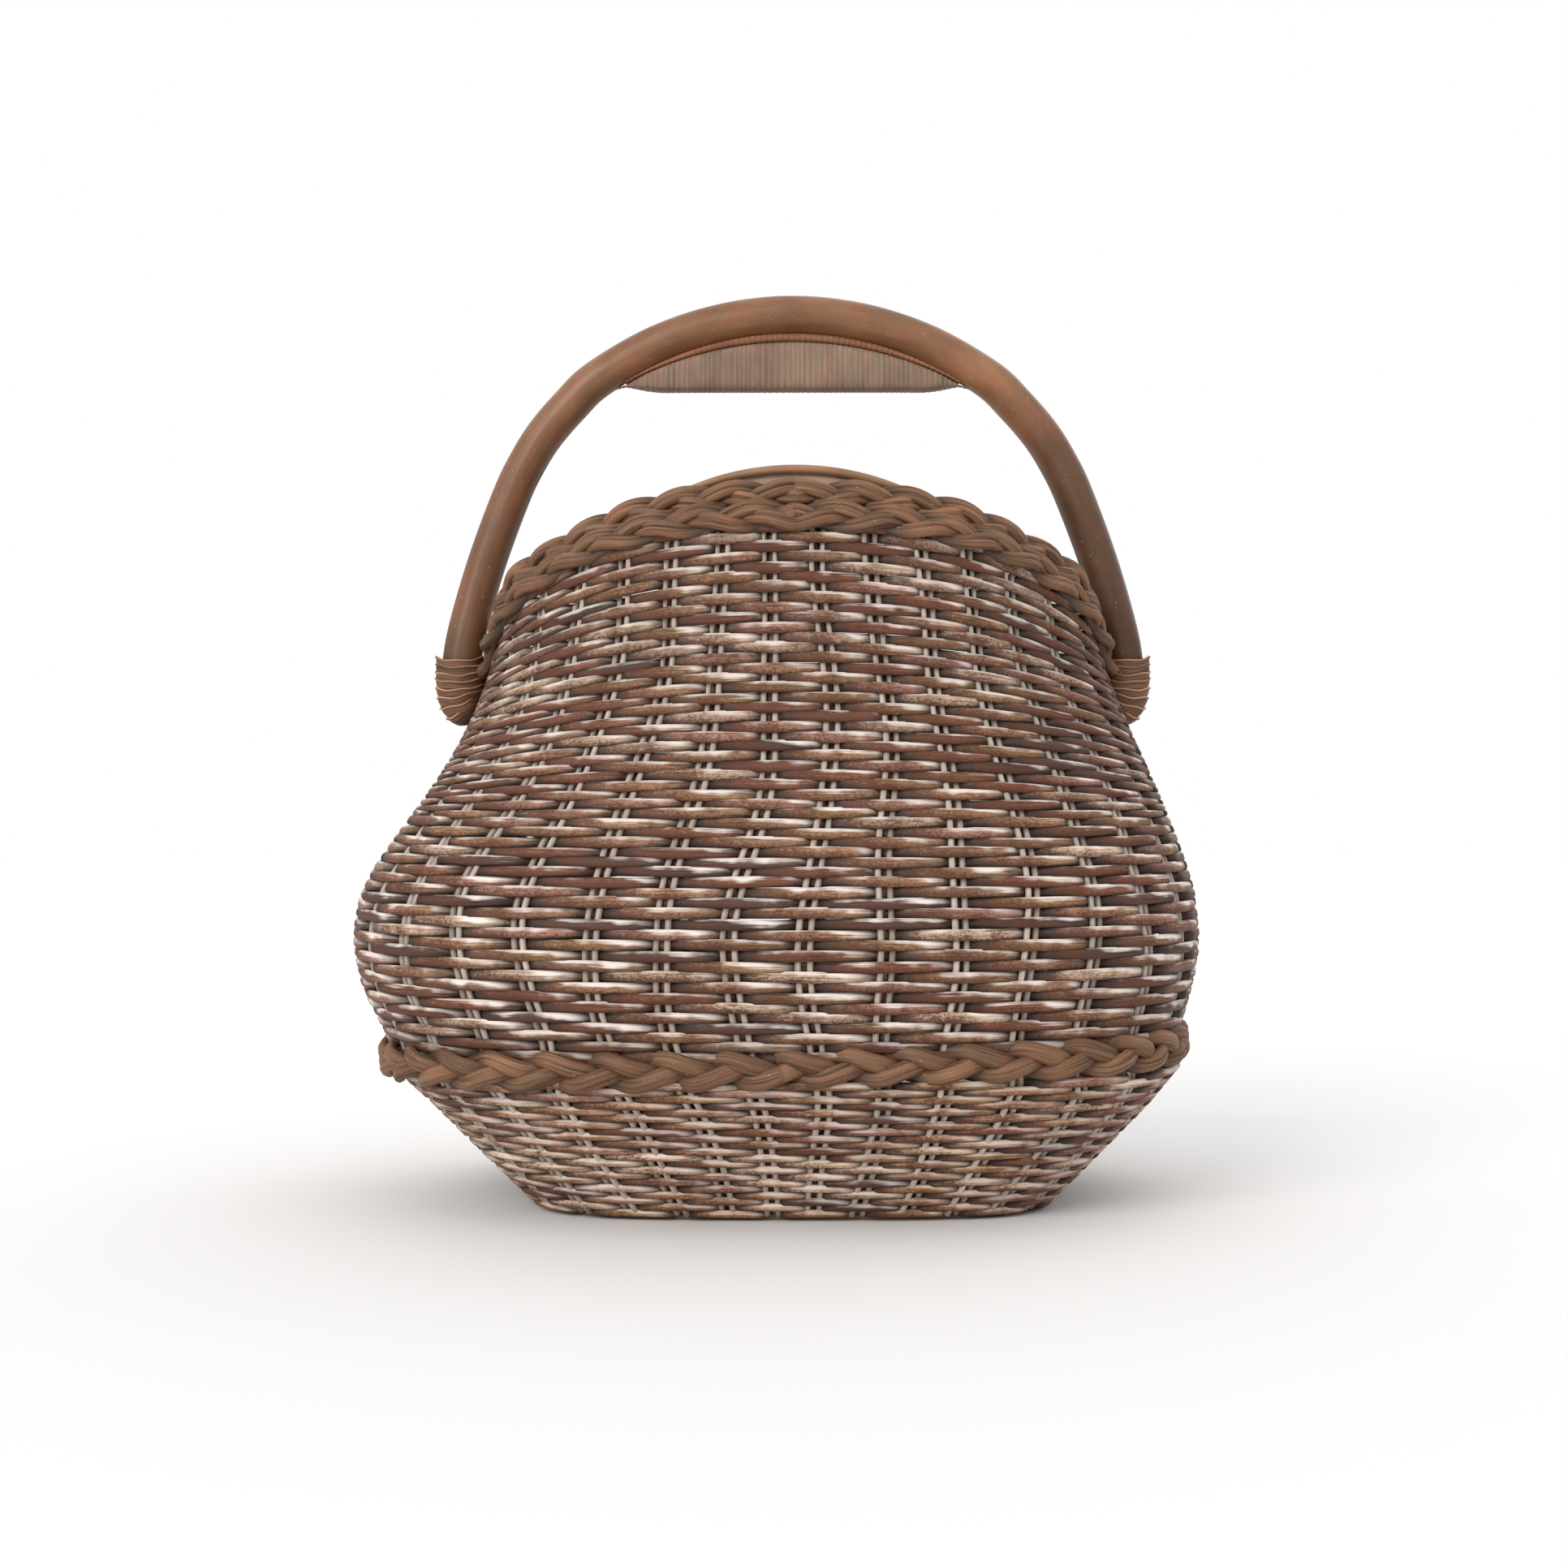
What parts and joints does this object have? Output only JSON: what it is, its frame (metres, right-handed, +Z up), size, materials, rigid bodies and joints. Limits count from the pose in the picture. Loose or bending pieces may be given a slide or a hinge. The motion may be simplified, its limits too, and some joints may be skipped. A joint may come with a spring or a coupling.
{
  "type": "wicker pet bed basket",
  "caption": "High-backed wicker pet bed tub on a flared tray, with plaited rim and border, a dipped front entry, a fixed arched carrying handle and a loose cushion.",
  "frame": {"origin": "on the floor under the middle of the base board", "axes": "+Z up, the high back towards -Y, the dipped front entry towards +Y, the handle spans X"},
  "size_m": [0.4676, 0.3464, 0.51],
  "materials": {
    "board": "bare thin board, dry and slightly dusty",
    "weave": "split willow in cream, tan, golden and red-brown with a worn whitewash",
    "stake": "round willow rods, satin",
    "braid": "thick warm brown cane, fine grain, satin",
    "pole": "peeled rattan pole, mottled warm brown, low sheen",
    "strip": "thin reddish cane strip, satin",
    "grip": "fine greyish-brown cane winding, matt",
    "wrap": "flat cane bands, satin",
    "crest": "smooth pale pinkish wood, satin",
    "crest_bow": "thin round cane, satin",
    "cushion": "soft plain woven cotton, matt"
  },
  "bodies": {
    "basket": {"base_board": "board", "tray_weave": "weave", "rim_braid": "braid", "upper_weave": "weave", "border_plait_outer": "braid", "border_plait_inner": "braid", "stake_pair_01": "stake", "stake_pair_02": "stake", "stake_pair_03": "stake", "stake_pair_04": "stake", "stake_pair_05": "stake", "stake_pair_06": "stake", "stake_pair_07": "stake", "stake_pair_08": "stake", "stake_pair_09": "stake", "stake_pair_10": "stake", "stake_pair_11": "stake", "stake_pair_12": "stake", "stake_pair_13": "stake", "stake_pair_14": "stake", "stake_pair_15": "stake", "stake_pair_16": "stake", "stake_pair_17": "stake", "stake_pair_18": "stake", "stake_pair_19": "stake", "stake_pair_20": "stake", "stake_pair_21": "stake", "stake_pair_22": "stake", "stake_pair_23": "stake", "stake_pair_24": "stake", "stake_pair_25": "stake", "stake_pair_26": "stake", "stake_pair_27": "stake", "stake_pair_28": "stake", "stake_pair_29": "stake", "stake_pair_30": "stake", "stake_pair_31": "stake", "stake_pair_32": "stake", "stake_pair_33": "stake", "stake_pair_34": "stake", "stake_pair_35": "stake", "stake_pair_36": "stake", "handle_bow": "pole", "grip_strip": "strip", "handle_grip": "grip", "handle_wrap_left": "wrap", "handle_wrap_right": "wrap", "crest_plate": "crest", "crest_bow": "crest_bow"},
    "cushion": {"cushion": "cushion"}
  },
  "joints": [
    {"name": "cushion_lift", "type": "slide", "parent": "basket", "child": "cushion", "axis": [0, 0, 1], "range_m": [0, 0.1]}
  ]
}
